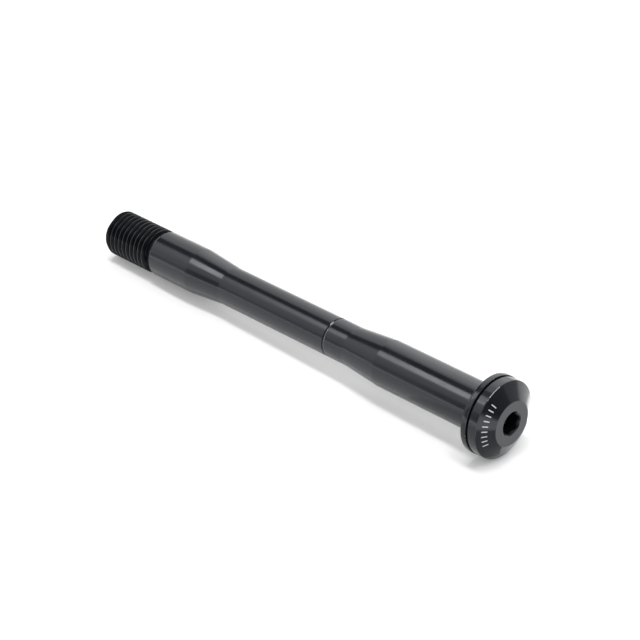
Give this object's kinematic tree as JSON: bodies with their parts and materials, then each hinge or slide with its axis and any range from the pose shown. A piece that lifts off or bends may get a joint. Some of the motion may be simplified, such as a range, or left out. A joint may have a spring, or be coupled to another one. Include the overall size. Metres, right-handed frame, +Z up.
{
  "type": "bicycle thru axle",
  "caption": "one-piece turned axle: low conical head with a hexagon socket and seating flange, plain seats either side of a slim neck, and an external thread",
  "frame": {"origin": "on the floor below the middle of the axle's box as it lies at rest on its head's flange and its last thread crest", "axes": "+X along the axle towards the head, level; +Z up; the axle's own axis rises 1.737 degrees towards the head in the XZ plane"},
  "size_m": [0.1352, 0.0196, 0.0197],
  "materials": {
    "black_anodised": "black anodised over a turned surface, satin"
  },
  "bodies": {
    "root": {"thru_axle": "black_anodised"}
  },
  "joints": []
}
